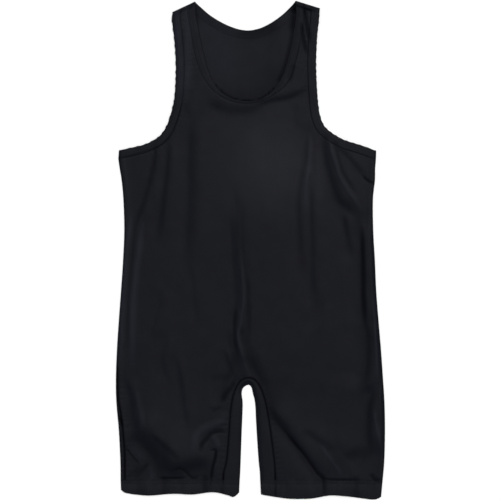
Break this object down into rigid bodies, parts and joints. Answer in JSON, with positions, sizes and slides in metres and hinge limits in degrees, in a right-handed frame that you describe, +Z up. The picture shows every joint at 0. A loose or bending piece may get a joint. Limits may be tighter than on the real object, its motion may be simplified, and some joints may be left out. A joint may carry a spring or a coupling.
{
  "type": "wrestling singlet",
  "caption": "Sleeveless one-piece wrestling singlet with scoop neck, bound armholes and mid-thigh legs, laid flat with its front up.",
  "frame": {"origin": "middle of the flat garment's outline, on the surface that it lies on", "axes": "+X to the wearer's left, +Y to the shoulders, +Z up from the surface through the back to the front"},
  "size_m": [0.41, 0.7597, 0.007],
  "materials": {
    "body_knit": "black stretch knit with a soft sheen",
    "binding_knit": "black folded stretch binding",
    "hem_knit": "black turned elastic hem"
  },
  "bodies": {
    "root": {"front_panel": "body_knit", "back_panel": "body_knit", "inner_leg_gusset": "body_knit", "neck_band": "binding_knit", "armhole_band_right": "binding_knit", "armhole_band_left": "binding_knit", "leg_hem_right": "hem_knit", "leg_hem_left": "hem_knit"}
  },
  "joints": []
}
